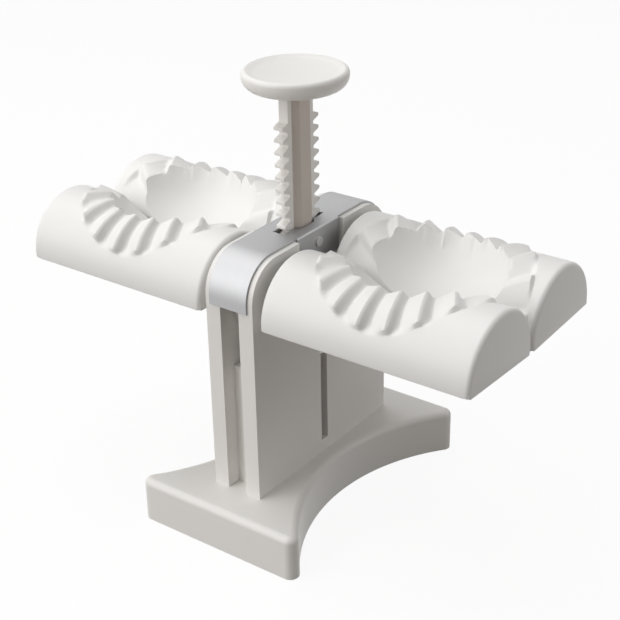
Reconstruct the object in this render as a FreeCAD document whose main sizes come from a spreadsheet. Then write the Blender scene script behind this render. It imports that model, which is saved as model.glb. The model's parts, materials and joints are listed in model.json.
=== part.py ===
"""Double dumpling press: a stand, a toothed plunger and two pairs of rolling mould halves.

The plunger slides down between the uprights. The teeth on its two sides turn the front and the
back pinion, so the pleated halves roll against each other at the middle plane and drop what they hold.

Frame: X runs along the mould pairs, Y from front (minus) to back, Z up. The foot stands on Z = 0.
"""
import FreeCAD
import Part
import Sketcher
import math
import os

Vector = FreeCAD.Vector
Rotation = FreeCAD.Rotation
Placement = FreeCAD.Placement

# Driving sizes: millimetres, degrees for angles, plain counts and shares where the name says so.
SIZES = [
    # foot
    ("foot_half_width", 42.3, "foot, middle to the left and right ends of its front edge"),
    ("foot_half_depth", 66.2, "foot, middle to its front edge"),
    ("foot_half_waist", 20.0, "foot, middle to the hollow of its side"),
    ("foot_height", 21.0, "foot, table to its top face"),
    ("foot_wall", 2.6, "foot, side wall"),
    ("foot_roof", 3.0, "foot, top wall"),
    ("foot_corner", 4.0, "foot, upright corner rounding"),
    ("foot_round", 3.2, "foot, top edge rounding"),
    # uprights
    ("channel_half", 4.9, "middle plane to the inner face of an upright"),
    ("upright_face", 12.4, "middle plane to the outer face of an upright"),
    ("upright_half_depth", 49.3, "uprights, middle to the front edge"),
    ("shoulder_rise", 24.6, "uprights, roller axes to the top"),
    ("shoulder_radius", 17.0, "uprights, rounding of the shoulders"),
    ("web_near", 34.0, "web between the uprights, near side"),
    ("web_far", 42.0, "web between the uprights, far side"),
    ("web_top", 80.0, "web between the uprights, top"),
    ("slot_half_width", 2.4, "guide slot, half width"),
    ("slot_bottom", 27.5, "guide slot, lower end"),
    # rollers
    ("axis_offset", 25.0, "middle plane to a roller axis"),
    ("axis_height", 107.4, "table to the roller axes"),
    ("roll_gap", 0.3, "middle plane to the nearest point of a dome"),
    ("flat_drop", 2.9, "roller axis to the flat back of a mould"),
    ("rest_tilt", 2.5, "lean of the flat backs at rest, outer edges up"),
    ("mould_near", 16.0, "middle plane to the near end of a mould"),
    ("mould_far", 115.0, "middle plane to the far end of a mould"),
    ("mould_end_round", 1.3, "mould, rounding of the end edges"),
    ("mould_wall", 2.6, "mould, wall"),
    ("bowl_half_length", 34.2, "bowl, half length along the moulds"),
    ("bowl_half_width", 31.2, "bowl, half width across both halves"),
    ("bowl_depth", 23.0, "bowl, depth below its rim"),
    ("bowl_level", 24.6, "bowl, rim level above the roller axes"),
    # pleats, laid out on the unrolled dome
    ("pleat_end_land", 4.5, "dome left plain between the pleats and the mould's ends"),
    ("pleat_end_band", 14.0, "pleat band, width at the mould's ends"),
    ("pleat_low_land", 15.4, "dome left plain between the pleats and the flat back"),
    ("pleat_low_band", 23.0, "pleat band, width half way along the mould"),
    ("pleat_count", 13, "pleats on one half"),
    ("pleat_spans", 3, "straight spans of a pleat across its band"),
    ("pleat_height", 1.8, "pleat crest above the dome"),
    ("pleat_depth", 1.6, "pleat valley below the dome"),
    ("pleat_free_share", 0.75, "rim left plain at the middle plane, as a share of the pitch"),
    ("pleat_root", 0.8, "depth to which a crest is rooted in the dome"),
    ("crest_foot_share", 0.37, "half width of a crest at its root, as a share of the pitch"),
    ("valley_share", 0.38, "half width of a valley level with the crests, as a share of the pitch"),
    ("valley_run_share", 0.09, "run-out of a valley past the band, as a share of its length"),
    ("valley_lift", 0.4, "height above the dome where the run-out of a valley ends"),
    # axles, hubs and backs
    ("journal_radius", 4.5, "axle, radius where it runs in the uprights"),
    ("journal_play", 0.06, "axle, running clearance in the uprights"),
    ("axle_flat", 3.6, "axle, axis to the flat that drives the pinion"),
    ("drive_half", 3.0, "axle, half side of the square ends"),
    ("drive_end", 34.0, "middle plane to the end of an axle"),
    ("hub_radius", 7.0, "mould hub, radius"),
    ("hub_end", 37.0, "middle plane to the far end of a mould hub"),
    ("hub_gap", 0.4, "mould hub, gap to the upright"),
    ("back_gauge", 2.0, "mould back plate, thickness"),
    ("back_margin", 3.0, "mould back plate, margin to the mould's edges"),
    ("back_play", 0.1, "mould back plate, clearance in its seat"),
    # rack, pinions and press cap
    ("tooth_module", 1.75, "rack and pinion, module"),
    ("pinion_teeth", 16, "pinion, teeth"),
    ("pressure_angle", 20.0, "rack and pinion, pressure angle"),
    ("tooth_play", 0.15, "rack and pinion, play at each flank"),
    ("rack_addendum", 1.6, "rack, tooth above the pitch line"),
    ("rack_dedendum", 2.2, "rack, tooth below the pitch line"),
    ("pinion_half_width", 4.2, "pinion, half width"),
    ("rack_teeth_below", 2, "rack, teeth below the axis level at rest"),
    ("rack_teeth_above", 13, "rack, teeth above the axis level at rest"),
    ("rack_half_width", 2.4, "rack, half width of the toothed strip"),
    ("rib_half_width", 4.6, "plunger rib, half width"),
    ("rib_half_depth", 6.2, "plunger rib, middle to where it meets the strip"),
    ("rib_flat_half", 3.6, "plunger rib, half width of its flat side"),
    ("plunger_tail", 6.0, "plunger, guide pin to the lower end"),
    ("guide_pin_radius", 2.2, "guide pin, radius"),
    ("guide_pin_end", 11.4, "middle plane to the end of the guide pin"),
    ("press_stroke", 44.0, "travel of the plunger"),
    ("slot_play", 0.5, "guide slot, room beyond the pin at each end"),
    ("cap_rise", 61.6, "press cap, its underside above the uprights at rest"),
    ("cap_height", 8.0, "press cap, underside to rim"),
    ("cap_radius", 22.6, "press cap, radius"),
    ("cap_side_radius", 5.4, "press cap, rounding from the underside to the rim"),
    ("cap_rim_radius", 2.0, "press cap, rounding of the rim"),
    ("dish_radius", 18.9, "press cap, radius of the dish"),
    ("dish_edge_drop", 0.5, "press cap, rim to the edge of the dish"),
    ("dish_depth", 1.3, "press cap, edge to the middle of the dish"),
    ("tenon_radius", 3.6, "plunger tenon in the cap, radius"),
    ("tenon_length", 4.0, "plunger tenon in the cap, length"),
    # strap
    ("strap_gauge", 1.0, "strap, sheet thickness"),
    ("strap_half_width", 9.8, "strap, half width"),
    ("strap_drop", 20.5, "strap, top of the uprights to its lower ends"),
    ("tab_face", 10.6, "middle plane to the outer face of a strap tab"),
    ("tab_half_depth", 15.0, "strap tab, half length"),
    ("tab_drop", 14.5, "strap tab, top of the uprights to its lower edge"),
    ("tab_bend", 0.8, "strap tab, rounding of the bend"),
    ("tab_room", 1.2, "strap tab, room in its notch"),
    ("strap_slot_half", 2.9, "strap opening, half width at the teeth"),
    ("strap_slot_end", 14.5, "strap opening, middle to its ends"),
    ("strap_rib_half", 5.2, "strap opening, half width at the rib"),
    ("strap_rib_depth", 7.0, "strap opening, middle to where the rib part starts"),
    ("strap_rib_flat", 4.2, "strap opening, half length of the straight side"),
    ("rivet_drop", 5.5, "strap rivets, below the top of the uprights"),
    ("rivet_head_radius", 2.2, "strap rivet, head radius"),
    ("rivet_head", 0.8, "strap rivet, head height"),
    ("rivet_radius", 1.4, "strap rivet, shank radius"),
    ("rivet_reach", 3.4, "strap rivet, shank in the upright"),
    # screws
    ("screw_radius", 1.5, "screws, shank radius"),
    ("screw_head_radius", 2.8, "screws, head radius"),
    ("screw_head", 2.0, "screws, head height"),
    ("screw_head_play", 0.2, "screws, clearance round the head"),
    ("recess_half", 0.45, "screws, half width of the cross recess"),
    ("recess_reach", 1.8, "screws, half length of the cross recess"),
    ("recess_depth", 1.0, "screws, depth of the cross recess"),
    ("web_screw_low", 33.0, "table to the lower web screws"),
    ("web_screw_high", 68.0, "table to the upper web screws"),
    ("web_screw_tip", 10.0, "middle plane to the tip of a web screw"),
    ("foot_screw_depth", 26.0, "middle to the foot screws, front and back"),
    ("foot_screw_reach", 10.0, "foot screws, length in the uprights"),
    ("overrun", 5.0, "how far a cutting shape runs past what it cuts"),
]

doc = FreeCAD.newDocument("dumpling_press")
sheet = doc.addObject("Spreadsheet::Sheet", "Sizes")
for row, (alias, number, note) in enumerate(SIZES, 1):
    sheet.set(f"A{row}", note)
    sheet.set(f"B{row}", str(number))
    sheet.setAlias(f"B{row}", alias)
doc.recompute()


class Size:
    """A number from the sheet, kept with the expression that gives it."""

    def __init__(self, number, text):
        self.number = float(number)
        self.text = text

    def __add__(self, other):
        other = as_size(other)
        return Size(self.number + other.number, f"({self.text} + {other.text})")

    def __sub__(self, other):
        other = as_size(other)
        return Size(self.number - other.number, f"({self.text} - {other.text})")

    def __mul__(self, other):
        other = as_size(other)
        return Size(self.number * other.number, f"({self.text} * {other.text})")

    def __truediv__(self, other):
        other = as_size(other)
        return Size(self.number / other.number, f"({self.text} / {other.text})")

    def __neg__(self):
        return Size(-self.number, f"(-1 * {self.text})")


def as_size(value):
    """The value as a Size, a plain number too."""
    return value if isinstance(value, Size) else Size(value, repr(float(value)))


def size(alias):
    """The size that the sheet holds under this alias."""
    return Size(sheet.get(alias), "Sizes." + alias)


def mm(alias):
    """The plain number that the sheet holds under this alias."""
    return float(sheet.get(alias))


def bind(thing, prop, amount):
    """Ties one property of an object to the sheet."""
    thing.setExpression(prop, as_size(amount).text)


# Document helpers: primitives, booleans, bodies and sketches.
TURNS = {
    "x": Rotation(Vector(0, 1, 0), 90),
    "y": Rotation(Vector(1, 0, 0), -90),
    "z": Rotation(),
}


def place(thing, spot, turn=None):
    """Puts an object at a spot of three sizes, turned if asked."""
    spot = [as_size(each) for each in spot]
    base = Vector(*(each.number for each in spot))
    thing.Placement = Placement(base, turn or Rotation())
    for letter, each in zip("xyz", spot):
        bind(thing, "Placement.Base." + letter, each)


def block(name, low, high):
    """A box between two corners."""
    made = doc.addObject("Part::Box", name)
    for prop, start, stop in zip(("Length", "Width", "Height"), low, high):
        bind(made, prop, as_size(stop) - as_size(start))
    place(made, low)
    return made


def rod(name, radius, start, length, axis):
    """A cylinder from a start point along one axis."""
    made = doc.addObject("Part::Cylinder", name)
    bind(made, "Radius", radius)
    bind(made, "Height", length)
    place(made, start, TURNS[axis])
    return made


def fused(name, *pieces):
    """One solid made of several that overlap."""
    made = doc.addObject("Part::MultiFuse", name)
    made.Shapes = list(pieces)
    made.Refine = True
    return made


def trimmed(name, base, *tools):
    """The base with the tools taken away."""
    made = doc.addObject("Part::Cut", name)
    made.Base = base
    made.Tool = tools[0] if len(tools) == 1 else fused(name + "_tools", *tools)
    return made


def grouped(name, *pieces):
    """Separate solids kept as one piece of the list."""
    made = doc.addObject("Part::Compound", name)
    made.Links = list(pieces)
    return made


def plain(name, shape):
    """A piece whose shape the code works out from the sheet."""
    made = doc.addObject("Part::Feature", name)
    made.Shape = shape
    return made


def origin_part(body, role):
    """A plane or an axis of a body's own origin."""
    return next(each for each in body.Origin.OriginFeatures if each.Role == role)


def sketch_on(body, name, role, offset=0):
    """An empty sketch on one of the body's origin planes, moved along its normal."""
    made = body.newObject("Sketcher::SketchObject", name)
    made.AttachmentSupport = [(origin_part(body, role), "")]
    made.MapMode = "FlatFace"
    made.setExpression("AttachmentOffset.Base.z", as_size(offset).text)
    return made


def pin_down(sketch, kind, edge, point, amount):
    """Fixes one coordinate of a sketch point by the sheet."""
    amount = as_size(amount)
    index = sketch.addConstraint(Sketcher.Constraint(kind, -1, 1, edge, point, amount.number))
    sketch.setExpression(f"Constraints[{index}]", amount.text)


def arc_between(start, stop, radius, turn):
    """The short arc from start to stop, turning left (1) or right (-1)."""
    chord = stop - start
    rise = math.sqrt(max(radius ** 2 - chord.Length ** 2 / 4, 0))
    side = Vector(-chord.y, chord.x, 0).normalize() * turn
    centre = (start + stop) / 2 + side * rise
    first, last = (start, stop) if turn > 0 else (stop, start)
    angles = [math.atan2(each.y - centre.y, each.x - centre.x) for each in (first, last)]
    return Part.ArcOfCircle(Part.Circle(centre, Vector(0, 0, 1), radius), *angles)


def draw(sketch, corners):
    """A closed outline. A corner is (x, y), or (x, y, radius, turn) when an arc leaves it."""
    spots = [Vector(as_size(each[0]).number, as_size(each[1]).number, 0) for each in corners]
    heads = []
    tails = []
    edges = []
    for count, corner in enumerate(corners):
        start = spots[count]
        stop = spots[(count + 1) % len(spots)]
        curved = len(corner) > 2
        turn = corner[3] if curved else 1
        if curved:
            shape = arc_between(start, stop, as_size(corner[2]).number, turn)
        else:
            shape = Part.LineSegment(start, stop)
        edges.append(sketch.addGeometry(shape, False))
        heads.append(1 if turn > 0 else 2)
        tails.append(2 if turn > 0 else 1)
    for count, corner in enumerate(corners):
        after = (count + 1) % len(corners)
        joint = (edges[count], tails[count], edges[after], heads[after])
        sketch.addConstraint(Sketcher.Constraint("Coincident", *joint))
        pin_down(sketch, "DistanceX", edges[count], heads[count], corner[0])
        pin_down(sketch, "DistanceY", edges[count], heads[count], corner[1])
        if len(corner) > 2:
            amount = as_size(corner[2])
            index = sketch.addConstraint(Sketcher.Constraint("Radius", edges[count], amount.number))
            sketch.setExpression(f"Constraints[{index}]", amount.text)


def draw_circle(sketch, x, y, radius):
    """A circle fixed by its middle and radius."""
    middle = Vector(as_size(x).number, as_size(y).number, 0)
    amount = as_size(radius)
    edge = sketch.addGeometry(Part.Circle(middle, Vector(0, 0, 1), amount.number), False)
    pin_down(sketch, "DistanceX", edge, 3, x)
    pin_down(sketch, "DistanceY", edge, 3, y)
    index = sketch.addConstraint(Sketcher.Constraint("Radius", edge, amount.number))
    sketch.setExpression(f"Constraints[{index}]", amount.text)


def rectangle(low_x, low_y, high_x, high_y):
    """The four corners of an upright rectangle."""
    return [(low_x, low_y), (high_x, low_y), (high_x, high_y), (low_x, high_y)]


def pad(body, name, sketch, length, back=False):
    """Adds a sketch's outline, drawn out to a length."""
    made = body.newObject("PartDesign::Pad", name)
    made.Profile = sketch
    bind(made, "Length", length)
    made.Reversed = back
    doc.recompute()
    return made


def pocket(body, name, sketch, length):
    """Takes a sketch's outline away, towards the side where there is material."""
    before = body.Shape.Volume
    made = body.newObject("PartDesign::Pocket", name)
    made.Profile = sketch
    bind(made, "Length", length)
    doc.recompute()
    if made.Shape.isNull() or abs(body.Shape.Volume - before) < before * 1e-9:
        made.Reversed = True
        doc.recompute()
    return made


def rounded(body, name, radius, wanted):
    """Rounds the edges of the body's last feature that the test picks."""
    base = body.Tip
    names = [f"Edge{n}" for n, edge in enumerate(base.Shape.Edges, 1) if wanted(edge)]
    made = body.newObject("PartDesign::Fillet", name)
    made.Base = (base, names)
    bind(made, "Radius", radius)
    doc.recompute()
    return made


def edge_level(edge, level):
    """Whether the whole edge lies at one height."""
    return all(abs(point.Z - level) < 1e-6 for point in edge.Vertexes)


PIECES = {}


def keep(name, thing):
    """Enters a finished piece in the list that is written out."""
    thing.Label = name
    PIECES[name] = thing
    return thing


# Foot: an hourglass plan with a rounded top edge, open below.
def hourglass(half_width, half_depth, half_waist, corner):
    """The foot's plan: rounded corners that run smoothly into an arc through the waist."""
    middle = half_width - corner
    back = half_depth - corner
    hollow = middle - half_waist
    radius = (hollow * hollow - corner * corner + back * back) / ((hollow + corner) * 2)
    meet_x = middle + corner * (radius - hollow) / (radius + corner)
    meet_y = back - corner * back / (radius + corner)
    return [
        (-middle, -half_depth),
        (middle, -half_depth, corner, 1),
        (meet_x, -meet_y, radius, -1),
        (meet_x, meet_y, corner, 1),
        (middle, half_depth),
        (-middle, half_depth, corner, 1),
        (-meet_x, meet_y, radius, -1),
        (-meet_x, -meet_y, corner, 1),
    ]


def make_foot():
    """The foot, with holes for the screws that hold the uprights."""
    body = doc.addObject("PartDesign::Body", "foot")
    height = size("foot_height")
    wall = size("foot_wall")
    half_width = size("foot_half_width")
    half_depth = size("foot_half_depth")
    half_waist = size("foot_half_waist")
    plan = sketch_on(body, "foot_plan", "XY_Plane")
    corner = size("foot_corner")
    draw(plan, hourglass(half_width, half_depth, half_waist, corner))
    pad(body, "foot_block", plan, height)
    top = height.number
    rounded(body, "foot_edge", size("foot_round"), lambda edge: edge_level(edge, top))
    hollow = sketch_on(body, "foot_hollow_plan", "XY_Plane")
    draw(hollow, hourglass(half_width - wall, half_depth - wall, half_waist - wall, corner - wall))
    pocket(body, "foot_hollow", hollow, height - size("foot_roof"))
    holes = sketch_on(body, "foot_hole_plan", "XY_Plane", height - size("foot_roof"))
    for x, y in foot_screw_spots():
        draw_circle(holes, x, y, size("screw_radius"))
    pocket(body, "foot_holes", holes, size("foot_roof"))
    return body


def foot_screw_spots():
    """The four places, in plan, of the screws from the foot into the uprights."""
    middle = (size("channel_half") + size("upright_face")) / 2
    depth = size("foot_screw_depth")
    return [(middle, depth), (middle, -depth), (-middle, depth), (-middle, -depth)]


# Uprights: two thick side plates that meet in the webs between them.
def web_screw_spots():
    """The four places, front to back and up, of the screws through the webs."""
    middle = (size("web_near") + size("web_far")) / 2
    low = size("web_screw_low")
    high = size("web_screw_high")
    return [(middle, low), (-middle, low), (middle, high), (-middle, high)]


def top_level():
    """Table to the top of the uprights."""
    return size("axis_height") + size("shoulder_rise")


def cap_level():
    """Table to the underside of the press cap at rest."""
    return top_level() + size("cap_rise")


def pin_height():
    """Table to the guide pin at rest: the pin may drop by one stroke before the slot ends."""
    lowest = size("slot_bottom") + size("slot_play") + size("guide_pin_radius")
    return lowest + size("press_stroke")


def make_upright(name, side):
    """One upright, on the plus X side (1) or the minus X side (-1)."""
    body = doc.addObject("PartDesign::Body", name)
    back = side < 0
    reach = size("overrun")
    inner = size("channel_half")
    face = size("upright_face")
    half = size("upright_half_depth")
    bottom = size("foot_height")
    top = top_level()
    shoulder = size("shoulder_radius")
    axis_y = size("axis_offset")
    axis_z = size("axis_height")
    towards = lambda amount: amount if side > 0 else -amount

    plate = sketch_on(body, name + "_outline", "YZ_Plane", towards(inner))
    draw(plate, [
        (-half, bottom),
        (half, bottom),
        (half, top - shoulder, shoulder, 1),
        (half - shoulder, top),
        (shoulder - half, top, shoulder, 1),
        (-half, top - shoulder),
    ])
    pad(body, name + "_plate", plate, face - inner, back)
    webs = sketch_on(body, name + "_web_plan", "YZ_Plane")
    near = size("web_near")
    far = size("web_far")
    draw(webs, rectangle(near, bottom, far, size("web_top")))
    draw(webs, rectangle(-far, bottom, -near, size("web_top")))
    pad(body, name + "_webs", webs, inner, back)

    ways = sketch_on(body, name + "_way_plan", "YZ_Plane", towards(face))
    for y in (axis_y, -axis_y):
        draw_circle(ways, y, axis_z, size("journal_radius") + size("journal_play"))
    slot_top = pin_height() + size("guide_pin_radius") + size("slot_play")
    slot = size("slot_half_width")
    draw(ways, rectangle(-slot, size("slot_bottom"), slot, slot_top))
    draw_circle(ways, 0, (top_level() - size("rivet_drop")), size("rivet_radius"))
    pocket(body, name + "_ways", ways, face - inner)

    notch = sketch_on(body, name + "_notch_plan", "YZ_Plane", towards(face))
    room = size("tab_half_depth") + size("tab_room")
    draw(notch, rectangle(-room, top - size("tab_drop") - size("tab_room"), room, top + reach))
    pocket(body, name + "_notch", notch, face - size("tab_face") + size("strap_gauge"))

    holes = sketch_on(body, name + "_screw_plan", "YZ_Plane")
    for y, z in web_screw_spots():
        draw_circle(holes, y, z, size("screw_radius"))
    pocket(body, name + "_screw_holes", holes, face if back else size("web_screw_tip"))
    if back:
        seats = sketch_on(body, name + "_seat_plan", "YZ_Plane", -face)
        for y, z in web_screw_spots():
            draw_circle(seats, y, z, size("screw_head_radius") + size("screw_head_play"))
        pocket(body, name + "_seats", seats, size("screw_head"))

    feet = sketch_on(body, name + "_foot_hole_plan", "XY_Plane", bottom)
    for x, y in foot_screw_spots():
        if x.number * side > 0:
            draw_circle(feet, x, y, size("screw_radius"))
    pocket(body, name + "_foot_holes", feet, size("foot_screw_reach"))
    return body


# Fastenings.
def make_screw(name, x, y, z, length, axis):
    """A pan head screw whose head ends at the spot given. It points along the axis."""
    shank = rod(name + "_shank", size("screw_radius"), (x, y, z), length, axis)
    start = {"x": as_size(x), "y": as_size(y), "z": as_size(z)}
    start[axis] = start[axis] - size("screw_head")
    head_spot = (start["x"], start["y"], start["z"])
    head = rod(name + "_head", size("screw_head_radius"), head_spot, size("screw_head"), axis)
    bars = []
    reach = size("recess_reach")
    thin = size("recess_half")
    for label, one, other in (("a", reach, thin), ("b", thin, reach)):
        low = dict(start)
        high = dict(start)
        across = [letter for letter in "xyz" if letter != axis]
        for letter, amount in zip(across, (one, other)):
            low[letter] = start[letter] - amount
            high[letter] = start[letter] + amount
        high[axis] = start[axis] + size("recess_depth")
        corners = [tuple(each[letter] for letter in "xyz") for each in (low, high)]
        bars.append(block(f"{name}_recess_{label}", *corners))
    return trimmed(name, fused(name + "_blank", shank, head), *bars)


def make_web_screws():
    """Four screws that draw the two uprights together."""
    start = -(size("upright_face") - size("screw_head"))
    length = size("web_screw_tip") - start
    spots = web_screw_spots()
    made = [
        make_screw(f"web_screw_{n}", start, y, z, length, "x")
        for n, (y, z) in enumerate(spots, 1)
    ]
    return grouped("upright_screws", *made)


def make_foot_screws():
    """Four screws from under the foot's roof up into the uprights."""
    start = size("foot_height") - size("foot_roof")
    length = size("foot_roof") + size("foot_screw_reach")
    made = [
        make_screw(f"foot_screw_{n}", x, y, start, length, "z")
        for n, (x, y) in enumerate(foot_screw_spots(), 1)
    ]
    return grouped("foot_screws", *made)


def make_rivets():
    """Two rivets that hold the strap's tabs to the uprights."""
    made = []
    seat = size("tab_face")
    reach = size("strap_gauge") + size("rivet_reach")
    z = (top_level() - size("rivet_drop"))
    for label, shank_start, head_start in (
        ("right", seat - reach, seat),
        ("left", -seat, -(seat + size("rivet_head"))),
    ):
        shank = rod(f"rivet_{label}_shank", size("rivet_radius"), (shank_start, 0, z), reach, "x")
        head_spot = (head_start, 0, z)
        head = rod(f"rivet_{label}_head", size("rivet_head_radius"), head_spot, size("rivet_head"), "x")
        made.append(fused(f"rivet_{label}", shank, head))
    return grouped("strap_rivets", *made)


# Strap: bent sheet over the top of the uprights, with a tab folded down on each side.
def make_strap():
    """The strap, with the opening that the plunger passes through."""
    body = doc.addObject("PartDesign::Body", "strap_cover")
    gauge = size("strap_gauge")
    half = size("upright_half_depth")
    top = top_level()
    bend = size("shoulder_radius")
    end = top - size("strap_drop")
    width = size("strap_half_width")
    reach = size("overrun")
    side = sketch_on(body, "strap_profile", "YZ_Plane", -width)
    draw(side, [
        (half, end),
        (half + gauge, end),
        (half + gauge, top - bend, bend + gauge, 1),
        (half - bend, top + gauge),
        (bend - half, top + gauge, bend + gauge, 1),
        (-half - gauge, top - bend),
        (-half - gauge, end),
        (-half, end),
        (-half, top - bend, bend, -1),
        (bend - half, top),
        (half - bend, top, bend, -1),
        (half, top - bend),
    ])
    pad(body, "strap_sheet", side, width + width)
    tab = size("tab_half_depth")
    face = size("tab_face")
    for label, offset, back in (("right", face - gauge, False), ("left", gauge - face, True)):
        leaf = sketch_on(body, f"tab_{label}_plan", "YZ_Plane", offset)
        draw(leaf, rectangle(-tab, top - size("tab_drop"), tab, top + gauge))
        pad(body, f"tab_{label}", leaf, gauge, back)
    bend_line = lambda edge: (
        edge_level(edge, top_level().number + mm("strap_gauge"))
        and all(abs(abs(point.X) - mm("tab_face")) < 1e-6 for point in edge.Vertexes)
    )
    rounded(body, "tab_bends", size("tab_bend"), bend_line)
    hole = sketch_on(body, "strap_hole_plan", "XY_Plane", top + gauge)
    slot = size("strap_slot_half")
    far = size("strap_slot_end")
    rib = size("strap_rib_half")
    deep = size("strap_rib_depth")
    flat = size("strap_rib_flat")
    draw(hole, [
        (slot, -far), (slot, -deep), (rib, -flat), (rib, flat), (slot, deep), (slot, far),
        (-slot, far), (-slot, deep), (-rib, flat), (-rib, -flat), (-slot, -deep), (-slot, -far),
    ])
    pocket(body, "strap_hole", hole, gauge)
    eyes = sketch_on(body, "rivet_eye_plan", "YZ_Plane", face)
    draw_circle(eyes, 0, (top_level() - size("rivet_drop")), size("rivet_radius"))
    pocket(body, "rivet_eyes", eyes, face + face)
    return body


# Plunger: a ribbed strip with teeth on its two narrow sides.
def pitch_radius():
    """The pinion's pitch radius."""
    return size("tooth_module") * size("pinion_teeth") / 2


def make_plunger():
    """The toothed plunger, with a tenon for the cap and a cross hole for the guide pin."""
    body = doc.addObject("PartDesign::Body", "rack_plunger")
    pitch_line = size("axis_offset") - pitch_radius()
    tip = pitch_line + size("rack_addendum")
    root = pitch_line - size("rack_dedendum")
    strip = size("rack_half_width")
    rib = size("rib_half_width")
    deep = size("rib_half_depth")
    flat = size("rib_flat_half")
    low = pin_height() - size("plunger_tail")
    section = sketch_on(body, "plunger_section", "XY_Plane", low)
    draw(section, [
        (strip, -root), (strip, -deep), (rib, -flat), (rib, flat), (strip, deep), (strip, root),
        (-strip, root), (-strip, deep), (-rib, flat), (-rib, -flat), (-strip, -deep), (-strip, -root),
    ])
    pad(body, "plunger_bar", section, cap_level() - low)
    tenon = sketch_on(body, "tenon_plan", "XY_Plane", cap_level())
    draw_circle(tenon, 0, 0, size("tenon_radius"))
    pad(body, "tenon", tenon, size("tenon_length"))
    pin = sketch_on(body, "pin_plan", "YZ_Plane", -rib)
    draw_circle(pin, 0, pin_height(), size("guide_pin_radius"))
    pocket(body, "pin_hole", pin, rib + rib)

    # one tooth on each side at the lowest place, then the rest above it
    pitch = size("tooth_module") * Size(math.pi, "pi")
    slope = Size(math.tan(math.radians(mm("pressure_angle"))), "tan(Sizes.pressure_angle * 1 deg)")
    half_pitch_line = pitch / 4 - size("tooth_play")
    half_tip = half_pitch_line - size("rack_addendum") * slope
    half_root = half_pitch_line + size("rack_dedendum") * slope
    middle = size("axis_height") - pitch * size("rack_teeth_below")
    tooth = sketch_on(body, "tooth_plan", "YZ_Plane", -strip)
    draw(tooth, [
        (root, middle - half_root), (tip, middle - half_tip),
        (tip, middle + half_tip), (root, middle + half_root),
    ])
    draw(tooth, [
        (-root, middle + half_root), (-tip, middle + half_tip),
        (-tip, middle - half_tip), (-root, middle - half_root),
    ])
    one = pad(body, "tooth_pair", tooth, strip + strip)
    row = body.newObject("PartDesign::LinearPattern", "tooth_row")
    row.Originals = [one]
    row.Direction = (origin_part(body, "Z_Axis"), [""])
    steps = size("rack_teeth_below") + size("rack_teeth_above")
    bind(row, "Length", pitch * steps)
    bind(row, "Occurrences", steps + 1)
    body.Tip = row
    doc.recompute()
    return body


def make_cap():
    """The press cap: a rounded disc with a shallow dish and a blind seat for the tenon."""
    body = doc.addObject("PartDesign::Body", "press_cap")
    low = cap_level()
    top = low + size("cap_height")
    wide = size("cap_radius")
    side = size("cap_side_radius")
    rim = size("cap_rim_radius")
    dish = size("dish_radius")
    edge = top - size("dish_edge_drop")
    depth = size("dish_depth")
    bowl = (dish * dish + depth * depth) / (depth * 2)
    seat = size("tenon_radius")
    profile = sketch_on(body, "cap_profile", "XZ_Plane")
    draw(profile, [
        (seat, low),
        (wide - side, low, side, 1),
        (wide, low + side),
        (wide, top - rim, rim, 1),
        (wide - rim, top),
        (dish, edge, bowl, -1),
        (0, edge - depth),
        (0, low + size("tenon_length")),
        (seat, low + size("tenon_length")),
    ])
    turned = body.newObject("PartDesign::Revolution", "cap_disc")
    turned.Profile = profile
    turned.ReferenceAxis = (origin_part(body, "Z_Axis"), [""])
    turned.Angle = 360
    doc.recompute()
    return body


def make_guide_pin():
    """The cross pin that runs in the slots of the uprights."""
    end = size("guide_pin_end")
    spot = (-end, 0, pin_height())
    return rod("guide_pin", size("guide_pin_radius"), spot, end + end, "x")


# Pinions: involute teeth worked out point by point, so the flanks roll on the rack.
def tooth_half_angle(radius, base):
    """Half the angle that a pinion tooth takes up at a radius."""
    pressure = math.radians(mm("pressure_angle"))
    spread = math.acos(min(base / radius, 1))
    half = math.pi / (2 * mm("pinion_teeth"))
    return half + (math.tan(pressure) - pressure) - (math.tan(spread) - spread)


def pinion_shape():
    """A pinion round the X axis at the origin, with a gap between teeth facing plus Y."""
    teeth = int(mm("pinion_teeth"))
    pitch = pitch_radius().number
    base = pitch * math.cos(math.radians(mm("pressure_angle")))
    outer = pitch + mm("rack_addendum")
    root = pitch - mm("rack_dedendum")
    levels = [base + (outer - base) * part / 4 for part in range(5)]
    flank = [(root, tooth_half_angle(base, base))]
    flank += [(radius, tooth_half_angle(radius, base)) for radius in levels]
    points = []
    for tooth in range(teeth):
        middle = 2 * math.pi * (tooth + 0.5) / teeth
        for radius, half in flank:
            points.append((radius, middle - half))
        for radius, half in reversed(flank):
            points.append((radius, middle + half))
    width = mm("pinion_half_width")
    ring = [Vector(-width, r * math.cos(a), r * math.sin(a)) for r, a in points]
    disc = Part.Face(Part.makePolygon(ring + ring[:1]))
    solid = disc.extrude(Vector(2 * width, 0, 0))
    long = width + mm("overrun")
    bore = Part.makeCylinder(mm("journal_radius"), 2 * long, Vector(-long, 0, 0), Vector(1, 0, 0))
    span = 2 * mm("journal_radius")
    lid = Part.makeBox(2 * long, 2 * span, span, Vector(-long, -span, mm("axle_flat")))
    return solid.cut(bore.cut(lid))


def make_pinion(name, side):
    """A pinion on the front (-1) or the back (1) axis, meshing with the rack."""
    made = plain(name, pinion_shape())
    turn = Rotation() if side < 0 else Rotation(Vector(0, 0, 1), 180)
    place(made, (0, size("axis_offset") * side, size("axis_height")), turn)
    return made


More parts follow.
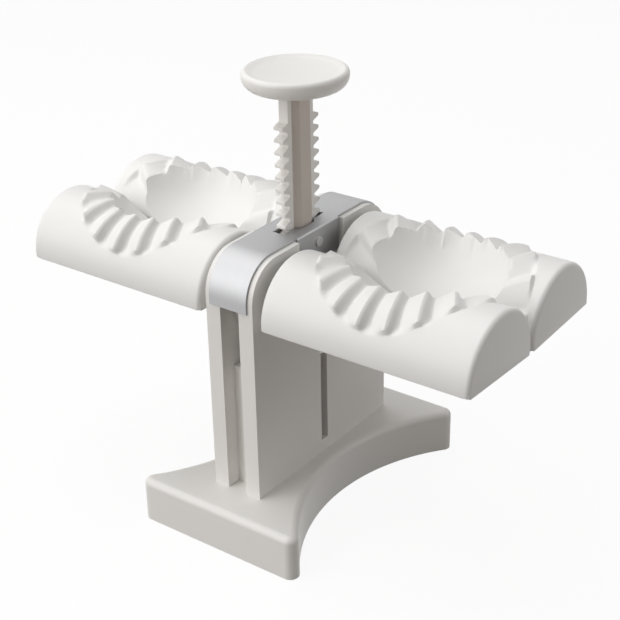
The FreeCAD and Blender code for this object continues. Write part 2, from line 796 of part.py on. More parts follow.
def make_axle(name, side):
    """An axle: round through the uprights, flatted for the pinion, square in the moulds."""
    y = size("axis_offset") * side
    z = size("axis_height")
    end = size("upright_face")
    far = size("drive_end")
    square = size("drive_half")
    radius = size("journal_radius")
    bar = rod(name + "_bar", radius, (-end, y, z), end + end, "x")
    flat = block(
        name + "_flat",
        (-end, y - radius, z + size("axle_flat")),
        (end, y + radius, z + radius),
    )
    journal = trimmed(name + "_journal", bar, flat)
    drive = block(name + "_drive", (-far, y - square, z - square), (far, y + square, z + square))
    return fused(name, journal, drive)


# Moulds: a dome on the roller axis with a pleated rim and half of the bowl, hollow behind.
def dome_radius():
    """The dome's radius, which leaves a small gap at the middle plane."""
    return mm("axis_offset") - mm("roll_gap")


def outer_arc():
    """Length round the dome, from the middle plane over the top to the flat back."""
    past = math.asin(mm("flat_drop") / dome_radius()) - math.radians(mm("rest_tilt"))
    return dome_radius() * (math.pi + past)


def band_point(angle, part, height):
    """A point of the pleat band. The angle runs along the rim, the part across it from the bowl."""
    middle = (mm("mould_near") + mm("mould_far")) / 2
    half = mm("mould_far") - middle - mm("pleat_end_land") - (1 - part) * mm("pleat_end_band")
    reach = outer_arc() - mm("pleat_low_land") - (1 - part) * mm("pleat_low_band")
    turn = reach * math.sin(angle) / dome_radius()
    radius = dome_radius() + height
    return Vector(middle + half * math.cos(angle), radius * math.cos(turn), radius * math.sin(turn))


def strip_solid(sections):
    """A solid through a row of cross sections, straight from one to the next."""
    wires = [Part.makePolygon(each + each[:1]) for each in sections]
    return Part.makeLoft(wires, True, True)


def band_stations():
    """Parts of the band's width at which a pleat has a cross section."""
    spans = int(mm("pleat_spans"))
    return [number / spans for number in range(spans + 1)]


def crest(angle, pitch):
    """One raised pleat, rooted in the dome."""
    foot = mm("crest_foot_share") * pitch
    sections = []
    for part in band_stations():
        sections.append([
            band_point(angle - foot, part, -mm("pleat_root")),
            band_point(angle, part, mm("pleat_height")),
            band_point(angle + foot, part, -mm("pleat_root")),
        ])
    return strip_solid(sections)


def valley(angle, pitch):
    """One groove between pleats, running out just past the band."""
    high = mm("pleat_height")
    deep = mm("pleat_depth")
    side = mm("valley_share") * pitch
    run = 1 + mm("valley_run_share")
    lift = mm("valley_lift")
    sections = []
    for part, depth in [(part, deep) for part in band_stations()] + [(run, -lift)]:
        sections.append([
            band_point(angle - side, part, high),
            band_point(angle, part, -depth),
            band_point(angle + side, part, high),
        ])
    return strip_solid(sections)


def flat_directions():
    """Along the flat back towards the outer edge, and out of it, on the front roller."""
    lean = math.radians(mm("rest_tilt"))
    along = Vector(0, -math.cos(lean), math.sin(lean))
    away = Vector(0, -math.sin(lean), -math.cos(lean))
    return along, away


def dome_bar(radius, drop, start, stop):
    """A bar of D section round the X axis, with its flat back at a drop from the axis."""
    along, away = flat_directions()
    half = math.sqrt(radius ** 2 - drop ** 2)
    inner = away * drop - along * half
    outer = away * drop + along * half
    crown = away * -radius
    place_at = Vector(start, 0, 0)
    bow = Part.Arc(inner + place_at, crown + place_at, outer + place_at).toShape()
    chord = Part.makeLine(outer + place_at, inner + place_at)
    face = Part.Face(Part.Wire([bow, chord]))
    return face.extrude(Vector(stop - start, 0, 0))


def bowl_shape(grow):
    """The bowl as a flattened ball about the middle of a pair, seen from the front axis."""
    ball = Part.makeSphere(1)
    middle = (mm("mould_near") + mm("mould_far")) / 2
    scale = FreeCAD.Matrix()
    scale.scale(mm("bowl_half_length") + grow, mm("bowl_half_width") + grow, mm("bowl_depth") + grow)
    scale.move(Vector(middle, mm("axis_offset"), mm("bowl_level")))
    return ball.transformGeometry(scale)


def back_box(start, stop, half, low, high):
    """A box lying along the flat back, between two drops from the axis."""
    along, away = flat_directions()
    corner = Vector(start, 0, 0) + away * high - along * half
    edges = [corner, corner + along * (2 * half), corner + along * (2 * half) - away * (high - low)]
    edges.append(corner - away * (high - low))
    face = Part.Face(Part.makePolygon(edges + edges[:1]))
    return face.extrude(Vector(stop - start, 0, 0))


def back_plate_half():
    """Half the width of a mould's back plate."""
    return math.sqrt(dome_radius() ** 2 - mm("flat_drop") ** 2) - mm("back_margin")


def back_shape(grow):
    """A mould's back plate, or its seat when grown."""
    start = mm("hub_end") + mm("back_margin") - grow
    stop = mm("mould_far") - mm("back_margin") + grow
    low = mm("flat_drop") - mm("back_gauge") - grow
    return back_box(start, stop, back_plate_half() + grow, low, mm("flat_drop"))


def mould_shape(shift):
    """The front right mould round the X axis. The shift moves its pleats along the rim."""
    radius = dome_radius()
    near = mm("mould_near")
    far = mm("mould_far")
    drop = mm("flat_drop")
    wall = mm("mould_wall")
    bar = dome_bar(radius, drop, near, far)
    bows = [edge for edge in bar.Edges if isinstance(edge.Curve, Part.Circle)]
    bar = bar.makeFillet(mm("mould_end_round"), bows)
    count = int(mm("pleat_count"))
    pitch = math.pi / count
    crests = [pitch * (n + shift) for n in range(count + 1)]
    valleys = [pitch * (n + 0.5 + shift) for n in range(-1, count + 1)]
    margin = pitch * mm("pleat_free_share")
    inside = lambda angle: margin < angle < math.pi - margin
    solid = bar.fuse([crest(angle, pitch) for angle in crests if inside(angle)])
    solid = solid.cut([valley(angle, pitch) for angle in valleys if inside(angle)])
    hub_start = mm("upright_face") + mm("hub_gap")
    along_x = Vector(1, 0, 0)
    hub_long = mm("hub_end") - hub_start
    hub = Part.makeCylinder(mm("hub_radius"), hub_long, Vector(hub_start, 0, 0), along_x)
    solid = solid.fuse(hub)
    solid = solid.cut(bowl_shape(0))

    # hollow behind the dome, closed by the back plate
    inner = radius - mm("pleat_depth") - wall
    room = dome_bar(inner, drop - mm("back_gauge"), mm("hub_end"), far - wall)
    room = room.cut(bowl_shape(wall))
    solid = solid.cut(room)
    solid = solid.cut(back_shape(mm("back_play")))
    square = mm("drive_half")
    socket_spot = Vector(hub_start - mm("overrun"), -square, -square)
    socket_long = mm("drive_end") - hub_start + mm("overrun")
    solid = solid.cut(Part.makeBox(socket_long, 2 * square, 2 * square, socket_spot))
    return solid


FLIP_X = Vector(1, 0, 0)
FLIP_Y = Vector(0, 1, 0)


def on_roller(shape, left, back):
    """The shape of a front right piece, mirrored to the left or to the back as asked."""
    if left:
        shape = shape.mirror(Vector(0, 0, 0), FLIP_X)
    if back:
        shape = shape.mirror(Vector(0, 0, 0), FLIP_Y)
    return shape


def make_moulds():
    """Four moulds and their back plates. The back pair's pleats sit between the front pair's."""
    for depth_name, side, shift in (("front", -1, 0.5), ("back", 1, 0.0)):
        shape = mould_shape(shift)
        plate = back_shape(0)
        for side_name, left in (("left", True), ("right", False)):
            name = f"{depth_name}_{side_name}_mould"
            made = plain(name, on_roller(shape, left, side > 0))
            place(made, (0, size("axis_offset") * side, size("axis_height")))
            keep(name, made)
            cover = plain(name + "_back", on_roller(plate, left, side > 0))
            place(cover, (0, size("axis_offset") * side, size("axis_height")))
            keep(name + "_back", cover)


def main():
    """Builds every piece, checks it and writes it out."""
    keep("foot", make_foot())
    keep("left_upright", make_upright("left_upright", -1))
    keep("right_upright", make_upright("right_upright", 1))
    keep("upright_screws", make_web_screws())
    keep("foot_screws", make_foot_screws())
    keep("strap_cover", make_strap())
    keep("strap_rivets", make_rivets())
    keep("rack_plunger", make_plunger())
    keep("press_cap", make_cap())
    keep("guide_pin", make_guide_pin())
    for name, side in (("front", -1), ("back", 1)):
        keep(name + "_pinion", make_pinion(name + "_pinion", side))
        keep(name + "_axle", make_axle(name + "_axle", side))
    make_moulds()
    doc.recompute()

    for thing in doc.Objects:
        if "Invalid" in thing.State or "Error" in thing.State:
            raise RuntimeError(f"{thing.Label} did not build: {thing.State}")
    os.makedirs("parts", exist_ok=True)
    for name, thing in PIECES.items():
        shape = thing.Shape
        if shape.isNull() or not shape.isValid() or not shape.Solids:
            raise RuntimeError(f"{name} has no sound solid")
        shape.exportStep(f"parts/{name}.step")
        box = shape.optimalBoundingBox(False)
        print(name, len(shape.Solids), len(shape.Faces), round(shape.Volume), [
            round(each, 2) for each in (box.XMin, box.XMax, box.YMin, box.YMax, box.ZMin, box.ZMax)
        ])


main()
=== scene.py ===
"""Looks of the double dumpling press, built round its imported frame.

Pressing the cap drives the toothed plunger down between the uprights. Its teeth turn two rollers,
and the pleated rims of the mould halves roll against each other at the middle plane.
"""
import json
import math

import bmesh
import bpy
from bpy.props import FloatProperty, FloatVectorProperty, IntProperty, PointerProperty
from bpy.types import Operator, Panel, PropertyGroup
from mathutils import Matrix, Vector


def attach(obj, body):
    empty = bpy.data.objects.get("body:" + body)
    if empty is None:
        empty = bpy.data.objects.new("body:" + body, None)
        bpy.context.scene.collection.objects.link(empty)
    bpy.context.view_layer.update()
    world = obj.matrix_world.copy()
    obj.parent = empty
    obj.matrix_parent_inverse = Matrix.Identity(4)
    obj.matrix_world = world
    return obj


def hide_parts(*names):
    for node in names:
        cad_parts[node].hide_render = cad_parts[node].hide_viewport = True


bl_info = {
    "name": "Dumpling Press",
    "version": (1, 0, 0),
    "blender": (4, 5, 0),
    "location": "View3D > Sidebar > Press",
    "description": "Shapes and finishes of a double dumpling press with rolling moulds",
    "category": "Object",
}

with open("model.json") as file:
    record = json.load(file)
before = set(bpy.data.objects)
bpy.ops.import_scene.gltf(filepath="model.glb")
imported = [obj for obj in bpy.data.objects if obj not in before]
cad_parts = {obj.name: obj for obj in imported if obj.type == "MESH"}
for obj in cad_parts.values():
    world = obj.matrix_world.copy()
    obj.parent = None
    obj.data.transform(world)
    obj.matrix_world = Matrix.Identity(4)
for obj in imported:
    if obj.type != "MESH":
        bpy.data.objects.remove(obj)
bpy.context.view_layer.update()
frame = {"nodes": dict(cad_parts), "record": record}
NODES = frame["nodes"]

ROLLERS = (("front", -1), ("back", 1))
SIDES = (("left", -1), ("right", 1))

# Half the width of the plunger's middle strip, which gets a painted shade.
RIB_SHADE_HALF = 0.0066

# Small roundings of hard edges. Edges that turn by more than the crease are rounded.
EDGE_ROUNDING = {
    "left_upright": 0.0005,
    "right_upright": 0.0005,
    "strap_cover": 0.00022,
    "rack_plunger": 0.00028,
}
EDGE_SEGMENTS = 2
EDGE_CREASE = math.radians(30.0)

# Distances and angles below which a mesh is cleaned.
WELD = 0.000002
FLAT_LIMIT = math.radians(0.4)
SLIVER = 0.00004

# Angles above which an edge is shaded sharp.
SHARP_FLOOR = math.radians(30.0)
SHARP_MOULD = math.radians(38.0)
SHARP_TURNED = math.radians(40.0)
SHARP_SOFTENED = math.radians(50.0)

# Rounding and sides of a mould's hub.
HUB_EDGE = 0.0004
HUB_SIDES = 48
TUBE_ROUND = 0.3

# Sides of the cap, the inner ring of its underside, and the steps along its outline.
CAP_SIDES = 128
CAP_INNER_SHARE = 0.5
CAP_SIDE_STEPS = 12
CAP_RIM_STEPS = 8
CAP_DISH_STEPS = 10

# Roughness of each kind of finish.
ROUGH = {
    "mould": 0.42,
    "mould_back": 0.48,
    "stand": 0.40,
    "plunger": 0.42,
    "cap": 0.38,
    "gear": 0.46,
    "strap": 0.54,
    "rivet": 0.30,
    "pin": 0.32,
    "axle": 0.30,
    "screw": 0.28,
}

# Noise cycles in a metre along X, Y and Z. Streaks run along the axes with few.
STRETCH = {
    "strap": (900.0, 60.0, 60.0),
    "rivet": (300.0, 300.0, 300.0),
    "pin": (900.0, 60.0, 60.0),
    "axle": (60.0, 800.0, 800.0),
    "screw": (260.0, 260.0, 260.0),
}

# Noise of the finishes: cycles in a metre, octaves of detail, and the mean value.
CLOUD_SCALE, CLOUD_DETAIL = 28.0, 3.0
SHEEN_SCALE, SHEEN_DETAIL = 90.0, 4.0
GRAIN_SCALE, GRAIN_DETAIL = 1400.0, 2.0
STREAK_SCALE, STREAK_DETAIL = 1.0, 4.0
NOISE_MEAN = 0.5

# Refraction of the plastics.
PLASTIC_IOR = 1.46

# How strongly the noise shows in plastic and in steel.
PLASTIC_CLOUD = 0.03
PLASTIC_UNEVEN = 0.08
PLASTIC_BUMP = 0.25
STEEL_STREAK = 0.12
STEEL_UNEVEN = 0.14
STEEL_BUMP = 0.15
GRAIN_DEPTH = 0.00002

# Stage. The glow is a share of the paper that the camera sees.
# Each lamp has a name, the setting that holds its power, a place and a width.
WHITE = (1.0, 1.0, 1.0, 1.0)
FLOOR_HALF = 6.0
FLOOR_CELLS = 8
FLOOR_DROP = 0.0002
PAPER_GLOW = 0.92
LAMP_AIM = Vector((0.0, 0.0, 0.11))
LAMPS = (
    ("key_light", "key", (-0.45, -0.05, 1.32), 1.6),
    ("front_light", "front", (-0.86, -1.63, 0.85), 2.0),
    ("side_light", "side", (1.05, 0.50, 0.50), 0.9),
)
SENSOR_WIDTH = 36.0
CLIP_START = 0.01


def length(name, note, default):
    """A length that a user may change, in metres."""
    return FloatProperty(name=name, description=note, default=default, unit="LENGTH", precision=5)


def rotation(name, note, degrees):
    """An angle that a user may change, given in degrees."""
    return FloatProperty(name=name, description=note, default=math.radians(degrees), unit="ROTATION")


def wattage(name, note, default):
    """The power of a lamp, which a user may change."""
    return FloatProperty(name=name, description=note, default=default, unit="POWER")


def colour(name, note, default):
    """A plain colour that a user may change."""
    return FloatVectorProperty(
        name=name, description=note, default=default, subtype="COLOR", size=3, min=0.0, max=1.0
    )


class MouldSizes(PropertyGroup):
    """Sizes of the rolling moulds."""

    axis_offset: length("Axis offset", "Middle plane to a roller axis", 0.025)
    axis_height: length("Axis height", "Table to the roller axes", 0.1074)
    dome_radius: length("Dome radius", "Radius of the rolling dome", 0.0247)
    flat_drop: length("Flat drop", "Roller axis to the flat back", 0.0029)
    rest_tilt: rotation("Rest tilt", "Lean of the flat backs at rest", 2.5)
    near: length("Near end", "Middle plane to the near end of a mould", 0.016)
    far: length("Far end", "Middle plane to the far end of a mould", 0.115)
    end_round: length("End rounding", "Rounding of the end edges", 0.0020)
    back_round: length("Back rounding", "Rounding of the edges along the flat back", 0.0007)
    bowl_length: length("Bowl half length", "Half length of the bowl along the moulds", 0.0342)
    bowl_width: length("Bowl half width", "Half width of the bowl across both halves", 0.0312)
    bowl_depth: length("Bowl depth", "Depth of the bowl below its rim", 0.023)
    bowl_level: length("Bowl level", "Rim of the bowl above the roller axes", 0.0246)
    end_land: length("End land", "Plain dome between the pleats and the ends", 0.0045)
    end_band: length("End band", "Width of the pleat band at the ends", 0.014)
    low_land: length("Low land", "Plain dome between the pleats and the flat back", 0.0154)
    low_band: length("Low band", "Width of the pleat band half way along", 0.023)
    pleats: IntProperty(name="Pleats", description="Folded pleats on one half", default=11, min=3)
    steep: FloatProperty(
        name="Steep share",
        description="Steep side of a pleat as a share of the pitch",
        default=0.18,
        min=0.05,
        max=0.5,
    )
    crest: length("Crest", "Pleat crest above the dome", 0.0021)
    valley: length("Valley", "Pleat valley below the dome", 0.0023)
    hub_radius: length("Hub radius", "Radius of the hub on the axle", 0.007)
    hub_start: length("Hub start", "Middle plane to the near end of the hub", 0.0128)
    hub_end: length("Hub end", "Middle plane to the far end of the hub", 0.037)
    seat_near: length("Seat near", "Near end of the back plate's seat", 0.0399)
    seat_far: length("Seat far", "Far end of the back plate's seat", 0.1121)
    seat_half: length("Seat half width", "Half width of the back plate's seat", 0.02163)
    seat_drop: length("Seat drop", "Roller axis to the floor of the seat", 0.0008)


class CapSizes(PropertyGroup):
    """Sizes of the press cap."""

    underside: length("Underside", "Table to the underside of the cap", 0.1936)
    top: length("Top", "Table to the rim of the cap", 0.2016)
    radius: length("Radius", "Radius of the cap", 0.0226)
    side: length("Side rounding", "Rounding from the underside to the rim", 0.0054)
    rim: length("Rim rounding", "Rounding of the rim", 0.002)
    dish: length("Dish radius", "Radius of the dish", 0.0189)
    dish_edge: length("Dish edge", "Rim to the edge of the dish", 0.0009)
    dish_depth: length("Dish depth", "Edge to the middle of the dish", 0.0015)


class PressFinish(PropertyGroup):
    """Colours of the finishes, and a painted shade for the plunger's middle strip."""

    mould: colour("Moulds", "Satin white of the moulds", (0.83, 0.825, 0.81))
    stand: colour("Stand", "Off-white of the foot and uprights", (0.82, 0.805, 0.78))
    teeth: colour("Teeth", "Cream white of the plunger's teeth", (0.82, 0.80, 0.77))
    # Painted shade: the darker, warmer grey of the plunger's middle strip stands in for the shade on it, not
    # a colour of its own.
    rib_shade: colour("Rib", "Warm grey of the plunger's rib", (0.58, 0.52, 0.465))
    cap: colour("Cap", "White of the press cap", (0.83, 0.815, 0.79))
    gear: colour("Gears", "Off-white of the pinions", (0.76, 0.74, 0.70))
    strap: colour("Strap", "Satin steel of the strap", (0.385, 0.385, 0.39))
    fitting: colour("Fittings", "Bright steel of rivets, screws and pins", (0.52, 0.52, 0.53))


class PressStage(PropertyGroup):
    """Camera, light and floor."""

    camera: FloatVectorProperty(
        name="Camera",
        description="Place of the camera",
        default=(0.3340, -0.4425, 0.3715),
        subtype="XYZ",
        unit="LENGTH",
    )
    azimuth: rotation("Azimuth", "Camera to the right of the front", 36.61)
    elevation: rotation("Elevation", "Camera above the horizon", 26.91)
    roll: rotation("Roll", "Roll of the camera", -1.12)
    lens: FloatProperty(
        name="Lens", description="Focal length on a 36 mm sensor", default=80.8, unit="CAMERA"
    )
    key: wattage("Key light", "Power of the light overhead", 12.6)
    front: wattage("Front light", "Power of the light in front", 25.5)
    side: wattage("Side light", "Power of the light at the right", 3.0)
    world: FloatProperty(name="World", description="Strength of the light from all round", default=0.13)
    room: colour("Room", "Tint of the light from all round", (1.0, 0.95, 0.89))
    floor: colour("Floor", "Light that the pale floor throws back", (0.29, 0.265, 0.24))


# Shader groups and materials.
def new_group(name, inputs, outputs):
    """An empty shader node group with its sockets."""
    tree = bpy.data.node_groups.new(name, "ShaderNodeTree")
    for label, kind, default in inputs:
        socket = tree.interface.new_socket(name=label, in_out="INPUT", socket_type=kind)
        socket.default_value = default
    for label, kind in outputs:
        tree.interface.new_socket(name=label, in_out="OUTPUT", socket_type=kind)
    entry = tree.nodes.new("NodeGroupInput")
    leave = tree.nodes.new("NodeGroupOutput")
    return tree, entry, leave


def math_node(tree, operation, first, second):
    """A math node fed by sockets or plain numbers."""
    node = tree.nodes.new("ShaderNodeMath")
    node.operation = operation
    for slot, value in zip(node.inputs, (first, second)):
        if isinstance(value, (int, float)):
            slot.default_value = value
        else:
            tree.links.new(value, slot)
    return node.outputs[0]


def noise_node(tree, vector, scale, detail):
    """A noise texture in object space."""
    node = tree.nodes.new("ShaderNodeTexNoise")
    tree.links.new(vector, node.inputs["Vector"])
    if isinstance(scale, (int, float)):
        node.inputs["Scale"].default_value = scale
    else:
        tree.links.new(scale, node.inputs["Scale"])
    node.inputs["Detail"].default_value = detail
    return node.outputs["Fac"]


def moulded_skin():
    """Moulded plastic: faint cloudy tint, uneven sheen and a very fine grain."""
    known = bpy.data.node_groups.get("moulded_skin")
    if known:
        return known
    tree, entry, leave = new_group(
        "moulded_skin",
        [
            ("Color", "NodeSocketColor", (0.8, 0.8, 0.8, 1.0)),
            ("Cloud", "NodeSocketFloat", 0.03),
            ("Roughness", "NodeSocketFloat", 0.4),
            ("Uneven", "NodeSocketFloat", 0.06),
            ("Grain Scale", "NodeSocketFloat", GRAIN_SCALE),
        ],
        [("Color", "NodeSocketColor"), ("Roughness", "NodeSocketFloat"), ("Height", "NodeSocketFloat")],
    )
    links = tree.links
    place = tree.nodes.new("ShaderNodeTexCoord").outputs["Object"]
    cloud = noise_node(tree, place, CLOUD_SCALE, CLOUD_DETAIL)
    centred = math_node(tree, "SUBTRACT", cloud, NOISE_MEAN)
    swing = math_node(tree, "MULTIPLY", centred, entry.outputs["Cloud"])
    shade = tree.nodes.new("ShaderNodeHueSaturation")
    links.new(math_node(tree, "ADD", swing, 1.0), shade.inputs["Value"])
    links.new(entry.outputs["Color"], shade.inputs["Color"])
    links.new(shade.outputs["Color"], leave.inputs["Color"])
    sheen = noise_node(tree, place, SHEEN_SCALE, SHEEN_DETAIL)
    centred = math_node(tree, "SUBTRACT", sheen, NOISE_MEAN)
    drift = math_node(tree, "MULTIPLY", centred, entry.outputs["Uneven"])
    links.new(math_node(tree, "ADD", drift, entry.outputs["Roughness"]), leave.inputs["Roughness"])
    grain = noise_node(tree, place, entry.outputs["Grain Scale"], GRAIN_DETAIL)
    links.new(grain, leave.inputs["Height"])
    return tree


def drawn_grain():
    """Brushed metal: stretched noise in tint, sheen and height."""
    known = bpy.data.node_groups.get("drawn_grain")
    if known:
        return known
    tree, entry, leave = new_group(
        "drawn_grain",
        [
            ("Color", "NodeSocketColor", (0.5, 0.5, 0.5, 1.0)),
            ("Stretch", "NodeSocketVector", (900.0, 40.0, 40.0)),
            ("Streak", "NodeSocketFloat", 0.10),
            ("Roughness", "NodeSocketFloat", 0.35),
            ("Uneven", "NodeSocketFloat", 0.12),
        ],
        [("Color", "NodeSocketColor"), ("Roughness", "NodeSocketFloat"), ("Height", "NodeSocketFloat")],
    )
    links = tree.links
    place = tree.nodes.new("ShaderNodeTexCoord").outputs["Object"]
    stretch = tree.nodes.new("ShaderNodeVectorMath")
    stretch.operation = "MULTIPLY"
    links.new(place, stretch.inputs[0])
    links.new(entry.outputs["Stretch"], stretch.inputs[1])
    streak = noise_node(tree, stretch.outputs[0], STREAK_SCALE, STREAK_DETAIL)
    centred = math_node(tree, "SUBTRACT", streak, NOISE_MEAN)
    shade = tree.nodes.new("ShaderNodeHueSaturation")
    lift = math_node(tree, "MULTIPLY", centred, entry.outputs["Streak"])
    links.new(math_node(tree, "ADD", lift, 1.0), shade.inputs["Value"])
    links.new(entry.outputs["Color"], shade.inputs["Color"])
    links.new(shade.outputs["Color"], leave.inputs["Color"])
    drift = math_node(tree, "MULTIPLY", centred, entry.outputs["Uneven"])
    links.new(math_node(tree, "ADD", drift, entry.outputs["Roughness"]), leave.inputs["Roughness"])
    links.new(streak, leave.inputs["Height"])
    return tree


def finish_base(name):
    """A material with its shader, and a bump node that feeds the shader."""
    made = bpy.data.materials.new(name)
    made.use_nodes = True
    tree = made.node_tree
    tree.nodes.clear()
    out = tree.nodes.new("ShaderNodeOutputMaterial")
    shader = tree.nodes.new("ShaderNodeBsdfPrincipled")
    tree.links.new(shader.outputs["BSDF"], out.inputs["Surface"])
    bump = tree.nodes.new("ShaderNodeBump")
    tree.links.new(bump.outputs["Normal"], shader.inputs["Normal"])
    return made, tree, shader, bump


def wire_finish(tree, effect, shader, bump):
    """Joins an effect's colour, sheen and height to the shader."""
    tree.links.new(effect.outputs["Color"], shader.inputs["Base Color"])
    tree.links.new(effect.outputs["Roughness"], shader.inputs["Roughness"])
    tree.links.new(effect.outputs["Height"], bump.inputs["Height"])


def plastic(name, tint, kind):
    """A moulded plastic finish of a kind."""
    known = bpy.data.materials.get(name)
    if known:
        return known
    made, tree, shader, bump = finish_base(name)
    effect = tree.nodes.new("ShaderNodeGroup")
    effect.node_tree = moulded_skin()
    effect.inputs["Color"].default_value = (*tint, 1.0)
    effect.inputs["Cloud"].default_value = PLASTIC_CLOUD
    effect.inputs["Roughness"].default_value = ROUGH[kind]
    effect.inputs["Uneven"].default_value = PLASTIC_UNEVEN
    bump.inputs["Strength"].default_value = PLASTIC_BUMP
    bump.inputs["Distance"].default_value = GRAIN_DEPTH
    wire_finish(tree, effect, shader, bump)
    shader.inputs["IOR"].default_value = PLASTIC_IOR
    return made


def steel(name, tint, kind, streak=STEEL_STREAK, uneven=STEEL_UNEVEN):
    """A steel finish of a kind, with the streaks of its stretch."""
    known = bpy.data.materials.get(name)
    if known:
        return known
    made, tree, shader, bump = finish_base(name)
    effect = tree.nodes.new("ShaderNodeGroup")
    effect.node_tree = drawn_grain()
    effect.inputs["Color"].default_value = (*tint, 1.0)
    effect.inputs["Stretch"].default_value = STRETCH[kind]
    effect.inputs["Streak"].default_value = streak
    effect.inputs["Roughness"].default_value = ROUGH[kind]
    effect.inputs["Uneven"].default_value = uneven
    bump.inputs["Strength"].default_value = STEEL_BUMP
    bump.inputs["Distance"].default_value = GRAIN_DEPTH
    wire_finish(tree, effect, shader, bump)
    shader.inputs["Metallic"].default_value = 1.0
    return made


def paint_rib_shade(material, tint, half):
    """Paints shade on the middle strip of a plunger finish: a darker colour there stands in for the shade
    that falls on it.
    """
    tree = material.node_tree
    effect = next(node for node in tree.nodes if node.type == "GROUP")
    split = tree.nodes.new("ShaderNodeSeparateXYZ")
    tree.links.new(tree.nodes.new("ShaderNodeTexCoord").outputs["Object"], split.inputs[0])
    away = math_node(tree, "ABSOLUTE", split.outputs["Y"], 0.0)
    beside = math_node(tree, "GREATER_THAN", away, half)
    mix = tree.nodes.new("ShaderNodeMix")
    mix.data_type = "RGBA"
    tree.links.new(beside, mix.inputs["Factor"])
    mix.inputs["A"].default_value = (*tint, 1.0)
    mix.inputs["B"].default_value = effect.inputs["Color"].default_value
    tree.links.new(mix.outputs["Result"], effect.inputs["Color"])


def seen_mask(tree):
    """One for rays that show the background: from the camera, in gloss or through glass."""
    path = tree.nodes.new("ShaderNodeLightPath")
    seen = math_node(tree, "MAXIMUM", path.outputs["Is Camera Ray"], path.outputs["Is Glossy Ray"])
    return math_node(tree, "MAXIMUM", seen, path.outputs["Is Transmission Ray"])


def diffuse(tree, tint):
    """A dull shader of one colour."""
    node = tree.nodes.new("ShaderNodeBsdfDiffuse")
    node.inputs["Color"].default_value = tint
    return node.outputs["BSDF"]


def background(tree, tint, strength):
    """A background of one colour."""
    node = tree.nodes.new("ShaderNodeBackground")
    node.inputs["Color"].default_value = tint
    node.inputs["Strength"].default_value = strength
    return node.outputs["Background"]


def mix_shaders(tree, share, first, second):
    """Two shaders mixed by a share, which is a socket or a plain number."""
    node = tree.nodes.new("ShaderNodeMixShader")
    if isinstance(share, float):
        node.inputs["Fac"].default_value = share
    else:
        tree.links.new(share, node.inputs["Fac"])
    tree.links.new(first, node.inputs[1])
    tree.links.new(second, node.inputs[2])
    return node.outputs["Shader"]


def floor_material(tint):
    """A dull floor that shows as bright paper."""
    made = bpy.data.materials.new("pale_floor")
    made.use_nodes = True
    tree = made.node_tree
    tree.nodes.clear()
    out = tree.nodes.new("ShaderNodeOutputMaterial")
    glow = tree.nodes.new("ShaderNodeEmission")
    glow.inputs["Color"].default_value = WHITE
    paper = mix_shaders(tree, PAPER_GLOW, diffuse(tree, WHITE), glow.outputs["Emission"])
    whole = mix_shaders(tree, seen_mask(tree), diffuse(tree, (*tint, 1.0)), paper)
    tree.links.new(whole, out.inputs["Surface"])
    return made


# Meshes.
def mesh_piece(name, bm, smooth_angle):
    """Turns a bmesh into a linked object with smooth faces and sharp creases."""
    bmesh.ops.recalc_face_normals(bm, faces=bm.faces)
    mesh = bpy.data.meshes.new(name)
    bm.to_mesh(mesh)
    bm.free()
    mesh.shade_smooth()
    mesh.set_sharp_from_angle(angle=smooth_angle)
    piece = bpy.data.objects.new(name, mesh)
    bpy.context.scene.collection.objects.link(piece)
    return piece


def settle(piece, material, body, node):
    """Gives a piece its finish and body, and lets it stand for a node."""
    piece.data.materials.clear()
    piece.data.materials.append(material)
    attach(piece, body)
    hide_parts(node)


def dress(node, material):
    """Gives a node that keeps its own shape a finish."""
    piece = NODES[node]
    piece.data.materials.clear()
    piece.data.materials.append(material)


def body_of(node):
    """The body that holds a node."""
    for body, members in frame["record"]["behaviour"]["bodies"].items():
        if node in members:
            return body
    raise RuntimeError(f"no body holds {node}")


def softened(node):
    """A copy of a node's shape with its hard edges rounded a little."""
    bm = bmesh.new()
    bm.from_mesh(NODES[node].data)
    bmesh.ops.remove_doubles(bm, verts=bm.verts, dist=WELD)
    bmesh.ops.dissolve_limit(bm, angle_limit=FLAT_LIMIT, verts=bm.verts, edges=bm.edges)
    hard = [
        edge for edge in bm.edges
        if len(edge.link_faces) == 2 and edge.calc_face_angle(0.0) > EDGE_CREASE
    ]
    bmesh.ops.bevel(
        bm, geom=hard, offset=EDGE_ROUNDING[node], offset_type="OFFSET", segments=EDGE_SEGMENTS,
        profile=0.5, affect="EDGES", clamp_overlap=True,
    )
    piece = mesh_piece(node + "_soft", bm, SHARP_SOFTENED)
    even = piece.modifiers.new("even_shading", "WEIGHTED_NORMAL")
    even.keep_sharp = True
    return piece


def fold(phase, steep):
    """A folded pleat: minus one at a whole phase, up to one over the steep share, then gently back."""
    part = phase - math.floor(phase)
    if part < steep:
        return 2.0 * part / steep - 1.0
    return 1.0 - 2.0 * (part - steep) / (1.0 - steep)


def soft_fold(phase, steep, width):
    """A folded pleat whose turns are rounded over a width of the phase."""
    spots = (-1.0, -0.5, 0.0, 0.5, 1.0)
    return sum(fold(phase + width * spot, steep) for spot in spots) / len(spots)


def ease(low, high, value):
    """A smooth step from nought to one."""
    part = min(1.0, max(0.0, (value - low) / (high - low)))
    return part * part * (3.0 - 2.0 * part)


